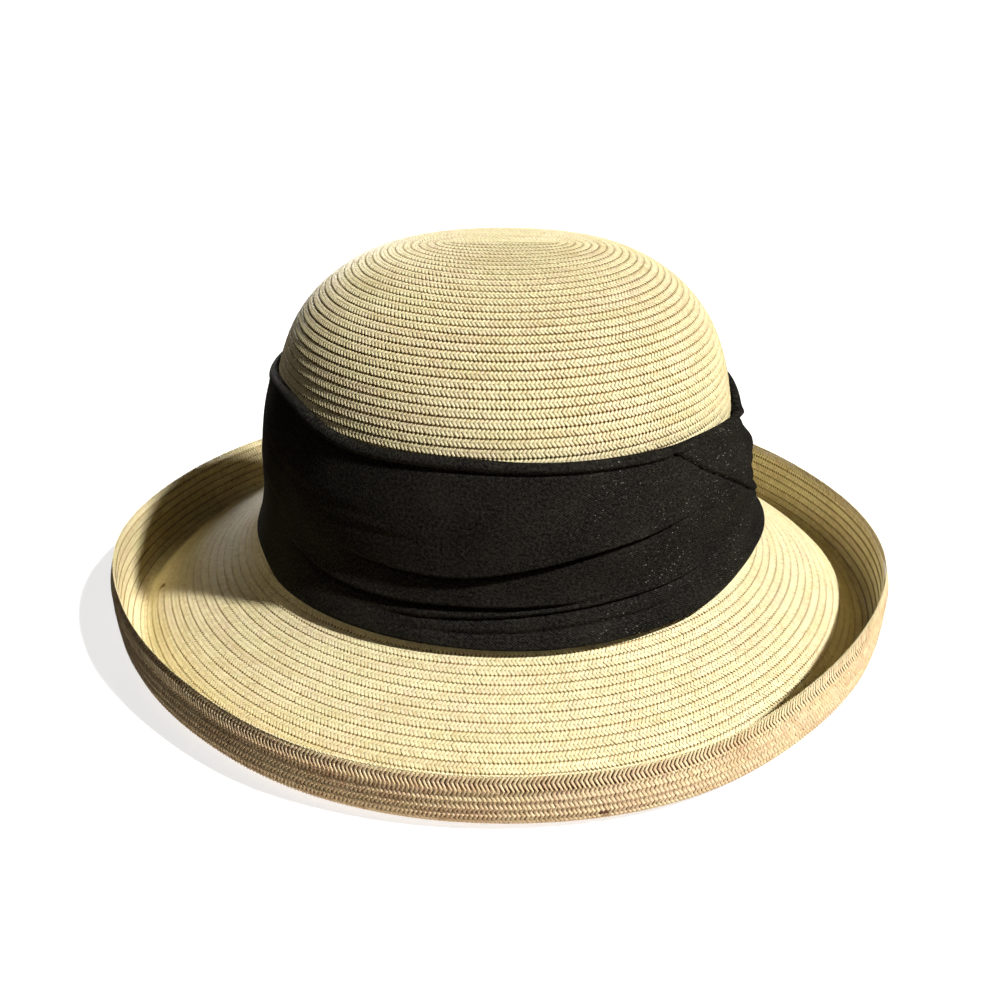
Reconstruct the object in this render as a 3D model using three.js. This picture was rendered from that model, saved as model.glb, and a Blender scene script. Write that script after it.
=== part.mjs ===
// A sun hat of sewn straw braid: a domed crown, a brim that slopes down and turns up at its rim,
// a lapped braid round the rim's outside, and a black scarf wound round the foot of the crown.
// Millimetres, +Z up. +X is to the right as the hat is seen from its long side, -Y is towards
// that viewer, and the origin is on the surface it rests on, under the middle of the hat.
import * as THREE from "three";

// Driving dimensions of the straw
const headHalfDepth = 91; // outside of the crown at the scarf, from its middle to its front
const headOval = 6; // how much more it measures from its middle to its side
const tipOval = 18; // the same at the tip, where the braid starts as a straight length
const crownHeight = 126; // tip of the crown above its lower edge
const crownLean = 1.4; // how far the crown sits to the right of the brim's middle
const seamHeight = 32; // lower edge of the crown above the surface that the hat rests on
const strawWall = 2; // two laps of braid
const seamLap = 13; // how far the brim's neck reaches up inside the crown
const brimReach = 56; // from the crown's lower edge out to the rim
const rimOval = 5; // how much longer the rim is from middle to side than from middle to front
const rimRise = 23.6; // the rim's edge above the middle of the fold's wall
const rimWave = 7; // largest rise of the hand-bent rim above its mean height
const foldSway = 0.65; // share of the rim's sway that the fold already follows
const edgeBraidWidth = 5.6; // the finishing braid, lapped over the rim's outside
const edgeBraidWall = 1.4;

// Driving dimensions of the scarf and the fits
const clothWall = 1.6; // thinnest place of the scarf, two plies of cloth
const scarfFullness = 8; // thickest place of the wound cloth over the straw
const foldDepth = 1.8; // the deepest fold in it
const foldWidth = 3.6; // half-width of a fold's hollow
const clearance = 0.3; // between pieces that touch
const facetRoom = 0.3; // more room where two faceted walls run round the head side by side

// Fineness of the faceted walls
const directions = 60; // round the hat
const scarfOuterStations = 20;
const scarfInnerStations = 10;

// The crown's outside, from the tip to its lower edge. out is a share of headHalfDepth,
// down a share of crownHeight, and round runs from the tip's oval, 0, to the head's, 1.
// A row marked as level has a level wall there.
const crownSections = [
  { out: 0.0, down: 0.0, round: 0.0, level: true },
  { out: 0.153, down: 0.008, round: 0.12 },
  { out: 0.305, down: 0.019, round: 0.25 },
  { out: 0.452, down: 0.052, round: 0.38 },
  { out: 0.588, down: 0.103, round: 0.5 },
  { out: 0.711, down: 0.17, round: 0.62 },
  { out: 0.813, down: 0.252, round: 0.75 },
  { out: 0.888, down: 0.349, round: 0.88 },
  { out: 0.938, down: 0.454, round: 1.0 },
  { out: 0.958, down: 0.563, round: 1.0 },
  { out: 0.973, down: 0.674, round: 1.0 },
  { out: 0.987, down: 0.784, round: 1.0 },
  { out: 1.023, down: 0.896, round: 1.0 },
  { out: 1.058, down: 0.95, round: 1.0 },
  { out: 1.118, down: 1.0, round: 1.0 },
];

// The middle of the brim's wall, from the seam to the rim's edge. out is a share of brimReach,
// slope a share of seamHeight and rise a share of rimRise, both above the fold's middle.
// The two rows marked as level have their underside flat on the surface.
const brimSections = [
  { out: 0.084, slope: 0.806, rise: 0.0 },
  { out: 0.204, slope: 0.694, rise: 0.0 },
  { out: 0.325, slope: 0.591, rise: 0.0 },
  { out: 0.445, slope: 0.481, rise: 0.0 },
  { out: 0.561, slope: 0.372, rise: 0.0 },
  { out: 0.673, slope: 0.244, rise: 0.0 },
  { out: 0.725, slope: 0.172, rise: 0.0 },
  { out: 0.773, slope: 0.1, rise: 0.0 },
  { out: 0.825, slope: 0.037, rise: 0.0 },
  { out: 0.861, slope: 0.0, rise: 0.0, level: true },
  { out: 0.9, slope: 0.0, rise: 0.0, level: true },
  { out: 0.939, slope: 0.0, rise: 0.035 },
  { out: 0.968, slope: 0.0, rise: 0.16 },
  { out: 0.992, slope: 0.0, rise: 0.44 },
  { out: 0.99, slope: 0.0, rise: 0.74 },
  { out: 0.971, slope: 0.0, rise: 1.0 },
];

// How the rim was bent by hand, towards each direction in degrees from +X, anticlockwise seen
// from above: how far its edge stands out and up, as shares of rimWave.
const rimBends = [
  { toward: 0, out: -0.3, up: 0.41 },
  { toward: 22.5, out: -0.3, up: 0.04 },
  { toward: 45, out: -0.08, up: -0.06 },
  { toward: 67.5, out: 0.0, up: -0.16 },
  { toward: 90, out: 0.0, up: -0.26 },
  { toward: 112.5, out: 0.0, up: -0.3 },
  { toward: 135, out: -0.08, up: -0.11 },
  { toward: 157.5, out: -0.25, up: 0.19 },
  { toward: 180, out: -0.13, up: 0.46 },
  { toward: 202.5, out: -0.62, up: 0.46 },
  { toward: 225, out: -0.75, up: 0.14 },
  { toward: 247.5, out: -0.06, up: 0.06 },
  { toward: 270, out: 0.21, up: 0.03 },
  { toward: 292.5, out: 0.29, up: 0.21 },
  { toward: 315, out: -0.45, up: 0.51 },
  { toward: 337.5, out: -0.45, up: 1.0 },
];

// The scarf's edges, as shares of crownHeight above the crown's lower edge, and how full the
// cloth is above (full) and near its lower edge (foot), as shares of scarfFullness.
const scarfEdges = [
  { toward: 0, top: 0.57, bottom: 0.035, full: 0.9, foot: 1.0 },
  { toward: 12, top: 0.58, bottom: 0.035, full: 0.7, foot: 0.8 },
  { toward: 45, top: 0.58, bottom: 0.03, full: 0.7, foot: 0.55 },
  { toward: 90, top: 0.58, bottom: 0.03, full: 0.75, foot: 0.5 },
  { toward: 135, top: 0.582, bottom: 0.034, full: 0.75, foot: 0.45 },
  { toward: 180, top: 0.6, bottom: 0.05, full: 0.8, foot: 0.4 },
  { toward: 203, top: 0.612, bottom: 0.055, full: 0.8, foot: 0.4 },
  { toward: 218, top: 0.593, bottom: 0.026, full: 0.8, foot: 0.5 },
  { toward: 237, top: 0.56, bottom: 0.018, full: 0.8, foot: 0.6 },
  { toward: 270, top: 0.565, bottom: 0.01, full: 0.8, foot: 0.65 },
  { toward: 300, top: 0.547, bottom: 0.008, full: 0.85, foot: 0.7 },
  { toward: 325, top: 0.53, bottom: 0.018, full: 1.0, foot: 0.8 },
  { toward: 348, top: 0.485, bottom: 0.03, full: 1.15, foot: 1.0 },
];

// How the fullness is spread from the scarf's top edge, 0, to its bottom edge, 1.
const scarfProfile = [
  { across: 0.0, body: 0.25, base: 0.0 },
  { across: 0.05, body: 0.5, base: 0.0 },
  { across: 0.11, body: 0.5, base: 0.0 },
  { across: 0.3, body: 0.8, base: 0.0 },
  { across: 0.5, body: 0.9, base: 0.0 },
  { across: 0.7, body: 0.6, base: 0.3 },
  { across: 0.88, body: 0.25, base: 0.75 },
  { across: 1.0, body: 0.1, base: 0.6 },
];

// The main folds: each hollow runs from one direction and height across the scarf to another.
const scarfFolds = [
  { from: 306, start: 0.0, to: 354, end: 0.66, depth: 1.0 },
  { from: 240, start: 0.65, to: 318, end: 0.4, depth: 0.9 },
  { from: 240, start: 0.86, to: 335, end: 0.76, depth: 0.8 },
  { from: 15, start: 0.3, to: 160, end: 0.45, depth: 0.7 },
  { from: 40, start: 0.75, to: 200, end: 0.7, depth: 0.7 },
];

const straw = new THREE.MeshStandardMaterial({ color: 0xe0cd98, roughness: 0.7, metalness: 0 });
const edgeStraw = new THREE.MeshStandardMaterial({ color: 0xe6d3a3, roughness: 0.68, metalness: 0 });
const blackCloth = new THREE.MeshStandardMaterial({ color: 0x17171a, roughness: 0.85, metalness: 0 });

const mix = (a, b, share) => a + (b - a) * share;
const radians = THREE.MathUtils.degToRad;

// The value of a column at a place along a table, straight from row to row.
function along(rows, key, place, column) {
  const last = rows.length - 1;
  const next = Math.min(last, Math.max(1, rows.findIndex((row) => row[key] >= place)));
  const [a, b] = place >= rows[last][key] ? [rows[last - 1], rows[last]] : [rows[next - 1], rows[next]];
  const share = (place - a[key]) / (b[key] - a[key]);
  return mix(a[column], b[column], Math.min(1, Math.max(0, share)));
}

// The value of a column towards a direction in degrees, smooth all the way round.
function around(rows, toward, column) {
  const n = rows.length;
  const turn = ((toward % 360) + 360) % 360;
  const i = rows.filter((row) => row.toward <= turn).length - 1;
  const at = (k) => rows[(k + n) % n].toward + 360 * Math.floor(k / n);
  const value = (k) => rows[(k + n) % n][column];
  const step = at(i + 1) - at(i);
  const slope = (k) => (value(k + 1) - value(k - 1)) / (at(k + 1) - at(k - 1));
  const t = (turn - at(i)) / step;
  const start = (1 + 2 * t) * (1 - t) ** 2 * value(i) + t * (1 - t) ** 2 * step * slope(i);
  return start + t * t * (3 - 2 * t) * value(i + 1) + t * t * (t - 1) * step * slope(i + 1);
}

// A meridian of the hat: points with out, up and oval, each given the wall's normal there.
function withNormals(points) {
  return points.map((p, i) => {
    const before = points[Math.max(0, i - 1)];
    const after = points[Math.min(points.length - 1, i + 1)];
    const length = Math.hypot(after.out - before.out, after.up - before.up);
    const normal = p.level
      ? { out: 0, up: 1 }
      : { out: (before.up - after.up) / length, up: (after.out - before.out) / length };
    return { ...p, normal };
  });
}

// The point of a meridian at a fractional index, moved off it by a distance along its normal.
function offPath(path, index, distance) {
  const i = Math.min(path.length - 2, Math.max(0, Math.floor(index)));
  const [a, b] = [path[i], path[i + 1]];
  const share = index - i;
  return {
    out: mix(a.out, b.out, share) + distance * mix(a.normal.out, b.normal.out, share),
    up: mix(a.up, b.up, share) + distance * mix(a.normal.up, b.normal.up, share),
    oval: mix(a.oval, b.oval, share),
    lean: mix(a.lean, b.lean, share),
  };
}

// A meridian's point turned to a direction, as a place in space.
function turned(p, toward) {
  const angle = radians(toward);
  return new THREE.Vector3((p.out + p.oval) * Math.cos(angle) + p.lean, p.out * Math.sin(angle), p.up);
}

// One ring of a wall: the place that a function gives towards each direction.
function ring(place) {
  return Array.from({ length: directions }, (_, i) => place((i * 360) / directions));
}

// A closed body through rings. It closes on its first ring, or ends in a tip outside and inside.
function body(rings, tips) {
  const points = rings.flat();
  const faces = [];
  const at = (r, i) => r * directions + (i % directions);
  const pairs = tips ? rings.length - 1 : rings.length;
  for (let r = 0; r < pairs; r++) {
    const s = (r + 1) % rings.length;
    for (let i = 0; i < directions; i++) {
      faces.push(at(r, i), at(s, i), at(s, i + 1));
      faces.push(at(r, i), at(s, i + 1), at(r, i + 1));
    }
  }
  if (tips) {
    const [outer, inner] = [points.push(tips[0]) - 1, points.push(tips[1]) - 1];
    for (let i = 0; i < directions; i++) {
      faces.push(outer, at(0, i), at(0, i + 1));
      faces.push(inner, at(rings.length - 1, i + 1), at(rings.length - 1, i));
    }
  }
  const geometry = new THREE.BufferGeometry().setFromPoints(points);
  geometry.setIndex(faces);
  geometry.computeVertexNormals();
  return geometry;
}

function named(name, geometry, material) {
  const mesh = new THREE.Mesh(geometry, material);
  mesh.name = name;
  return mesh;
}

// The crown's outside as a meridian.
const crownPath = withNormals(
  crownSections.map(({ out, down, round, level }) => ({
    out: out * headHalfDepth,
    up: seamHeight + (1 - down) * crownHeight,
    oval: mix(tipOval, headOval, round),
    lean: crownLean,
    level,
  })),
);
const crownEnd = crownPath[crownPath.length - 1];

// The index along the crown's meridian where it is at a height.
function crownIndexAt(height) {
  const i = Math.max(1, crownPath.findIndex((p) => p.up <= height));
  return i - (height - crownPath[i].up) / (crownPath[i - 1].up - crownPath[i].up);
}

// The domed crown: a wall open below, where the head goes in.
function makeCrown() {
  const indexes = crownPath.map((_, i) => i).slice(1);
  const outside = indexes.map((i) => ring((toward) => turned(offPath(crownPath, i, 0), toward)));
  const inside = indexes
    .filter((i) => i % 2 === 0)
    .reverse()
    .map((i) => ring((toward) => turned(offPath(crownPath, i, -strawWall), toward)));
  const tips = [0, -strawWall].map((off) => turned(offPath(crownPath, 0, off), 0).setX(crownLean));
  return body([...outside, ...inside], tips);
}

// The middle of the brim's wall: its neck laps up inside the crown, then it slopes and turns up.
function makeBrimPath() {
  const lapOffset = -(strawWall + clearance + facetRoom + strawWall / 2);
  const lapTop = crownIndexAt(seamHeight + seamLap);
  const lapEnd = crownPath.length - 1;
  const neck = [lapTop, (lapTop + lapEnd) / 2, lapEnd].map((i) => offPath(crownPath, i, lapOffset));
  const rows = brimSections.map(({ out, slope, rise, level }) => ({
    out: crownEnd.out + out * brimReach,
    up: strawWall / 2 + slope * seamHeight + rise * rimRise,
    oval: mix(headOval, rimOval, out),
    lean: crownLean * (1 - out),
    sway: foldSway * out + (1 - foldSway) * rise,
    lift: rise,
    level,
  }));
  return withNormals([...neck.map((p) => ({ ...p, sway: 0, lift: 0 })), ...rows]);
}
const brimPath = makeBrimPath();

// The brim's wall at a fractional index and an offset, bent with the rim towards a direction.
function brimPoint(index, distance, toward) {
  const i = Math.min(brimPath.length - 2, Math.floor(index));
  const [a, b] = [brimPath[i], brimPath[i + 1]];
  const p = offPath(brimPath, index, distance);
  p.out += mix(a.sway, b.sway, index - i) * rimWave * around(rimBends, toward, "out");
  p.up += mix(a.lift, b.lift, index - i) * rimWave * around(rimBends, toward, "up");
  return turned(p, toward);
}

function makeBrim() {
  const indexes = brimPath.map((_, i) => i);
  const half = strawWall / 2;
  const above = indexes.map((i) => ring((toward) => brimPoint(i, half, toward)));
  const below = indexes.reverse().map((i) => ring((toward) => brimPoint(i, -half, toward)));
  return body([...above, ...below]);
}

// The finishing braid: one row lapped over the outside of the rim, level with its edge.
function makeEdgeBraid() {
  const last = brimPath.length - 1;
  const [under, over] = [-(strawWall / 2 + clearance), -(strawWall / 2 + clearance + edgeBraidWall)];
  const rowHeight = brimPath[last].up - brimPath[last - 1].up;
  const foot = last - edgeBraidWidth / rowHeight;
  const station = (index, distance) => ring((toward) => brimPoint(index, distance, toward));
  return body([station(last, over), station(foot, over), station(foot, under), station(last, under)]);
}

// How deep the folds make the scarf towards a direction, at a share across it.
function foldHollow(toward, across, scarfHeight) {
  return scarfFolds.reduce((sum, fold) => {
    const share = (toward - fold.from) / (fold.to - fold.from);
    if (share <= 0 || share >= 1) return sum;
    const away = ((across - mix(fold.start, fold.end, share)) * scarfHeight) / foldWidth;
    return sum + foldDepth * fold.depth * Math.sin(Math.PI * share) ** 0.5 * Math.exp(-away * away);
  }, 0);
}

// The wound scarf's surface: across it from its top edge, at a share of its fullness.
function scarfPoint(toward, across, outside) {
  const edge = (column) => around(scarfEdges, toward, column);
  const scarfHeight = (edge("top") - edge("bottom")) * crownHeight;
  const up = seamHeight + edge("top") * crownHeight - across * scarfHeight;
  const spread = (column) => along(scarfProfile, "across", across, column);
  const seat = clearance + facetRoom;
  const full = scarfFullness * (spread("body") * edge("full") + spread("base") * edge("foot"));
  const cloth = Math.max(clothWall, full - foldHollow(toward, across, scarfHeight));
  return turned(offPath(crownPath, crownIndexAt(up), outside ? seat + cloth : seat), toward);
}

function makeScarf() {
  const shares = (count) => Array.from({ length: count }, (_, i) => i / (count - 1));
  const outer = shares(scarfOuterStations).map((s) => ring((toward) => scarfPoint(toward, s, true)));
  const inner = shares(scarfInnerStations)
    .reverse()
    .map((s) => ring((toward) => scarfPoint(toward, s, false)));
  return body([...outer, ...inner]);
}

const hat = new THREE.Group();
hat.add(
  named("crown", makeCrown(), straw),
  named("brim", makeBrim(), straw),
  named("edge_braid", makeEdgeBraid(), edgeStraw),
  named("scarf_band", makeScarf(), blackCloth),
);

// The rim is bent unevenly, so the hat is set with its origin under the middle of its box.
const box = new THREE.Box3().setFromObject(hat);
hat.position.set(-(box.min.x + box.max.x) / 2, -(box.min.y + box.max.y) / 2, -box.min.z);

export default hat;
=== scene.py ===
"""A sun hat of sewn straw braid, with an up-turned brim and a black scarf wound round its crown.

The straw is one long braid, sewn in a spiral from the tip of the crown to the edge of the rim.
Every straw of it that shows is modelled: a row of them is laid along the spiral, each pair
making one chevron of the plait, and each row laps over the next as shingles do. Lengths in the
tables are millimetres, and what is made of them is in metres.
"""

import logging
import math
from dataclasses import dataclass, replace
from enum import Enum

import bpy
import numpy as np
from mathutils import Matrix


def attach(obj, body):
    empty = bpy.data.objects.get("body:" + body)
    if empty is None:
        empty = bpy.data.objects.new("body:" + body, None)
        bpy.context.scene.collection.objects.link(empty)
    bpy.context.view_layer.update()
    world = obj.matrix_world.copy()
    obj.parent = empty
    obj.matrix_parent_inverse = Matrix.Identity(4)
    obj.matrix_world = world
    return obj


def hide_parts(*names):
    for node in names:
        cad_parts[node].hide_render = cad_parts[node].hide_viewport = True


Array = np.ndarray

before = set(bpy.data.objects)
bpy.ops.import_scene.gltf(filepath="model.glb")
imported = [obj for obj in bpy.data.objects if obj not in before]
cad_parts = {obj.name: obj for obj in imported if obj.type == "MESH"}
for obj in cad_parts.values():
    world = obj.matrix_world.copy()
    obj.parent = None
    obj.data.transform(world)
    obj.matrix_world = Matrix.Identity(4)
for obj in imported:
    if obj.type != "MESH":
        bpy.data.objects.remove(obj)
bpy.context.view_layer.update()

LOG = logging.getLogger("straw_hat")
MM = 0.001
SEED = 20260
ROW_MM = 3.6  # from one row of braid to the next


def linear(colour: str) -> tuple[float, float, float, float]:
    """Turns an sRGB hex colour into the linear values that a shader takes.

    Args:
        colour: six hex digits, as in "e6d3a0".

    Returns:
        Red, green, blue and an alpha of one.
    """
    parts = [int(colour[i : i + 2], 16) / 255 for i in (0, 2, 4)]
    rgb = [c / 12.92 if c <= 0.04045 else ((c + 0.055) / 1.055) ** 2.4 for c in parts]
    return rgb[0], rgb[1], rgb[2], 1.0


def smooth_curve(xs: Array, ys: Array, at: Array) -> Array:
    """Follows a smooth curve through the points of a table.

    Args:
        xs: the table's places, rising.
        ys: its values.
        at: the places asked for.

    Returns:
        The curve's value at each place asked for.
    """
    slopes = np.gradient(ys, xs)
    i = np.clip(np.searchsorted(xs, at, side="right") - 1, 0, len(xs) - 2)
    step = xs[i + 1] - xs[i]
    t = np.clip((at - xs[i]) / step, 0.0, 1.0)
    start = (1 + 2 * t) * (1 - t) ** 2 * ys[i] + t * (1 - t) ** 2 * step * slopes[i]
    return start + t * t * (3 - 2 * t) * ys[i + 1] + t * t * (t - 1) * step * slopes[i + 1]


def round_curve(table: tuple, column: int, direction: Array) -> Array:
    """Follows a smooth curve round the hat, from a table whose first column is a direction.

    Args:
        table: rows of a direction in degrees, rising, and values.
        column: which value.
        direction: degrees from the hat's right, anticlockwise seen from above.

    Returns:
        The value towards each direction.
    """
    rows = np.array(table, float)
    xs = np.concatenate([rows[:, 0] - 360, rows[:, 0], rows[:, 0] + 360])
    ys = np.tile(rows[:, column], 3)
    turn = np.mod(direction - rows[0, 0], 360) + rows[0, 0]
    return smooth_curve(xs, ys, turn)


def ease(x: Array, low: float, high: float) -> Array:
    """Goes smoothly from 0 at low to 1 at high."""
    t = np.clip((x - low) / (high - low), 0.0, 1.0)
    return t * t * (3 - 2 * t)


def add_node(tree: bpy.types.NodeTree, kind: str, settings: dict, links: dict) -> bpy.types.Node:
    """Adds one node to a material.

    Args:
        tree: the material's node tree.
        kind: the node's Blender type.
        settings: attributes of the node, and constants for its inputs by name or number.
        links: outputs that feed its inputs, by name or number.

    Returns:
        The new node.
    """
    node = tree.nodes.new(kind)
    for key, value in settings.items():
        if isinstance(key, str) and hasattr(node, key):
            setattr(node, key, value)
        else:
            node.inputs[key].default_value = value
    for key, output in links.items():
        tree.links.new(output, node.inputs[key])
    return node


def start_material(name: str) -> tuple[bpy.types.Material, bpy.types.NodeTree, bpy.types.Node]:
    """Starts a material.

    Args:
        name: its name.

    Returns:
        The material, its node tree and its Principled shader.
    """
    material = bpy.data.materials.new(name)
    material.use_nodes = True
    tree = material.node_tree
    return material, tree, tree.nodes["Principled BSDF"]


def set_inputs(shader: bpy.types.Node, values: dict) -> None:
    """Sets constants on a shader's inputs, by their names."""
    for name, value in values.items():
        shader.inputs[name].default_value = value


def deselect() -> None:
    """Leaves nothing selected, so that an operator acts on what is made next."""
    if bpy.context.object and bpy.context.object.mode != "OBJECT":
        bpy.ops.object.mode_set(mode="OBJECT")
    bpy.ops.object.select_all(action="DESELECT")


class Face(Enum):
    """The two faces of the hat's straw wall."""

    OUTER = 1  # the outside of the crown and the upper side of the brim
    INNER = -1  # the inside of the crown, the underside of the brim and the rim's outside


@dataclass(frozen=True)
class HatForm:
    """The form of the straw wall: a meridian that is turned round an oval and bent at the rim.

    A place on it is a row of braid, counted from the tip, and a number of turns round the hat
    from its front, anticlockwise seen from above.
    """

    lean: float = 1.4  # the crown sits this far to the right of the brim's middle
    tip_oval: float = 18.0  # how much more the tip measures from its middle to its side
    head_oval: float = 6.0
    rim_oval: float = 5.0
    crown_foot: float = 101.74  # from the middle to the seam of crown and brim
    brim_reach: float = 56.0
    rim_rise: float = 23.6
    rim_wave: float = 7.0
    fold_sway: float = 0.65  # share of the rim's outward bend that the brim has from its fold on
    half_wall: float = 1.0
    head_row: float = 32.0  # from the tip to here the oval goes over to the head's
    scarf_rows: tuple = (20, 60)  # between these lie the scarf's heights
    seam_rows: tuple = (49.5, 53.5)  # above these the measured surface is the wall's outer face
    fold_row: float = 68.4  # where the brim turns up
    fold_height: float = 1.2
    rest_row: float = 68.3  # the line that the hat rests on
    rest_spread: float = 1.5
    rest_press: float = 0.45  # share of its thickness that the braid loses there
    edge_row: float = 75.5
    past_edge: float = 0.4  # rows that the surface goes on past the edge
    edge_climb: float = 3.8  # height of each of them
    middle: tuple = (0.525, 0.668)  # of the brim's box, from the middle of the head

    # row of braid, out from the middle, up from the surface
    MERIDIAN = (
        (0, 0.0, 158.0), (4, 13.9, 157.2), (8, 27.8, 155.6), (12, 41.1, 151.4), (16, 53.5, 145.0),
        (20, 64.7, 136.6), (24, 74.0, 126.2), (28, 80.8, 114.0), (32, 85.4, 100.8), (36, 87.2, 87.0),
        (40, 88.5, 73.1), (44, 89.8, 59.2), (46, 91.0, 52.3), (48, 93.1, 45.1), (50, 96.3, 38.3),
        (52, 101.0, 32.4), (54, 106.9, 27.7), (56, 113.5, 24.1), (58, 120.3, 20.8), (60, 127.0, 17.3),
        (62, 133.6, 13.7), (64, 139.9, 9.5), (65, 142.7, 7.0), (66, 145.2, 4.4), (67, 147.9, 2.1),
        (68, 151.2, 1.3), (69, 154.5, 1.7), (70, 156.7, 4.3), (72, 158.6, 11.3), (74, 159.3, 18.8),
        (75.5, 159.0, 24.6),
    )
    # direction, how far the rim is bent out and up, as shares of rim_wave
    RIM_BENDS = (
        (0, -0.3, 0.41), (22.5, -0.3, 0.04), (45, -0.08, -0.06), (67.5, 0.0, -0.16), (90, 0.0, -0.26),
        (112.5, 0.0, -0.3), (135, -0.08, -0.11), (157.5, -0.25, 0.19), (180, -0.13, 0.46),
        (202.5, -0.62, 0.46), (225, -0.75, 0.14), (247.5, -0.06, 0.06), (270, 0.21, 0.03),
        (292.5, 0.29, 0.21), (315, -0.45, 0.51), (337.5, -0.45, 1.0),
    )

    def surface(self, row: Array, turn: Array) -> Array:
        """Gives places on the middle of the wall as it was measured, in millimetres."""
        table = np.array(self.MERIDIAN, float)
        row = np.clip(row, 0.0, self.edge_row + self.past_edge)
        out = smooth_curve(table[:, 0], table[:, 1], row)
        up = smooth_curve(table[:, 0], table[:, 2], row)
        up = up + np.maximum(row - self.edge_row, 0.0) * self.edge_climb
        share = np.clip((out - self.crown_foot) / self.brim_reach, 0.0, 1.0)
        risen = np.clip((up - self.fold_height) / self.rim_rise, 0.0, 1.1)
        rise = np.where(row > self.fold_row, risen, 0.0)
        head = self.tip_oval + (self.head_oval - self.tip_oval) * np.clip(row / self.head_row, 0.0, 1.0)
        oval = head + (self.rim_oval - self.head_oval) * share
        sway = self.fold_sway * share + (1 - self.fold_sway) * rise
        direction = turn * 360 - 90
        out = out + sway * self.rim_wave * round_curve(self.RIM_BENDS, 1, direction)
        up = up + rise * self.rim_wave * round_curve(self.RIM_BENDS, 2, direction)
        angle = np.radians(direction)
        x = (out + oval) * np.cos(angle) + self.lean * (1 - share) + self.middle[0]
        return np.stack([x, out * np.sin(angle) + self.middle[1], up], axis=-1)

    def middle_off(self, row: Array) -> Array:
        """Gives how far the wall's middle lies off the measured surface: under it on the crown."""
        return -self.half_wall * (1 - ease(row, *self.seam_rows))

    def place(self, row: Array, turn: Array, off: Array) -> Array:
        """Gives places off the wall's middle.

        Args:
            row: rows of braid from the tip.
            turn: turns round the hat from its front.
            off: millimetres from the wall's middle towards its outer face.

        Returns:
            Places in metres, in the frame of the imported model.
        """
        row, turn, off = np.broadcast_arrays(row, turn, off)
        row_step, turn_step = 0.1, 5e-4  # the slopes are measured over twice these
        steady = np.clip(row, 0.6, self.edge_row - row_step)
        down = self.surface(steady + row_step, turn) - self.surface(steady - row_step, turn)
        around = self.surface(steady, turn + turn_step) - self.surface(steady, turn - turn_step)
        normal = np.cross(down, around)
        # The two sides of the tip meet in one seam, so there the normals turn straight up.
        normal[..., :2] *= ease(row, 0.0, 1.5)[..., None]
        normal /= np.linalg.norm(normal, axis=-1, keepdims=True)
        distance = (off + self.middle_off(row))[..., None]
        return (self.surface(row, turn) + distance * normal) * MM

    def room(self, row: Array) -> Array:
        """Gives the share of its thickness that braid under the wall keeps: less where it rests."""
        return 1 - self.rest_press * np.exp(-(((row - self.rest_row) / self.rest_spread) ** 2))

    def row_at(self, height: Array) -> Array:
        """Gives the row of the crown that is at a height, in millimetres."""
        table = np.array(self.MERIDIAN, float)
        fine = np.linspace(*self.scarf_rows, 1600)
        return np.interp(-height, -smooth_curve(table[:, 0], table[:, 2], fine), fine)


FORM = HatForm()


@dataclass(frozen=True)
class StrawFinish:
    """Split wheat straw, flattened, plaited and steamed: pale, warm, with a dry gloss."""

    name: str = "plaited_wheat_straw"
    dark: str = "e0cd9b"
    pale: str = "f8edc0"
    pink: str = "f1d9bc"
    green: str = "e5e0a8"
    roughness: float = 0.52
    fibre_mm: float = 0.35
    patch_mm: float = 11.76  # length of a patch, as the bundle of straws changes along the braid

    def make(self) -> bpy.types.Material:
        """Makes the material: each straw its own tone, patches of pink and green, fine fibres."""
        material, tree, shader = start_material(self.name)
        place = add_node(tree, "ShaderNodeTexCoord", {}, {}).outputs["Object"]
        # Straws of one braid differ: the tone of each is kept on its own points.
        tone = add_node(tree, "ShaderNodeAttribute", {"attribute_name": "straw_tone"}, {})
        ramp = add_node(tree, "ShaderNodeValToRGB", {}, {"Fac": tone.outputs["Fac"]})
        for stop, colour, position in zip(ramp.color_ramp.elements, (self.dark, self.pale), (0.05, 0.8)):
            stop.color, stop.position = linear(colour), position
        hue = add_node(tree, "ShaderNodeAttribute", {"attribute_name": "straw_hue"}, {})
        patch = add_node(tree, "ShaderNodeTexNoise", {"Scale": 1000 / self.patch_mm, "Detail": 2.0},
                         {"Vector": place})
        sum_of = add_node(tree, "ShaderNodeMath", {"operation": "ADD"},
                          {0: hue.outputs["Fac"], 1: patch.outputs["Fac"]})
        pinkish = add_node(tree, "ShaderNodeMapRange", {"From Min": 1.0, "From Max": 1.6, "To Max": 0.6},
                           {"Value": sum_of.outputs[0]})
        greenish = add_node(tree, "ShaderNodeMapRange", {"From Min": 0.95, "From Max": 0.35,
                                                         "To Max": 0.55}, {"Value": sum_of.outputs[0]})
        warm = add_node(tree, "ShaderNodeMix", {"data_type": "RGBA", 7: linear(self.pink)},
                        {0: pinkish.outputs[0], 6: ramp.outputs[0]})
        cool = add_node(tree, "ShaderNodeMix", {"data_type": "RGBA", 7: linear(self.green)},
                        {0: greenish.outputs[0], 6: warm.outputs[2]})
        tree.links.new(cool.outputs[2], shader.inputs["Base Color"])
        fibre = add_node(tree, "ShaderNodeTexNoise", {"Scale": 1000 / self.fibre_mm, "Detail": 2.0},
                         {"Vector": place})
        bump = add_node(tree, "ShaderNodeBump", {"Strength": 0.25, "Distance": 0.0001},
                        {"Height": fibre.outputs["Fac"]})
        tree.links.new(bump.outputs[0], shader.inputs["Normal"])
        set_inputs(shader, {"Roughness": self.roughness, "IOR": 1.5})
        return material


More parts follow.
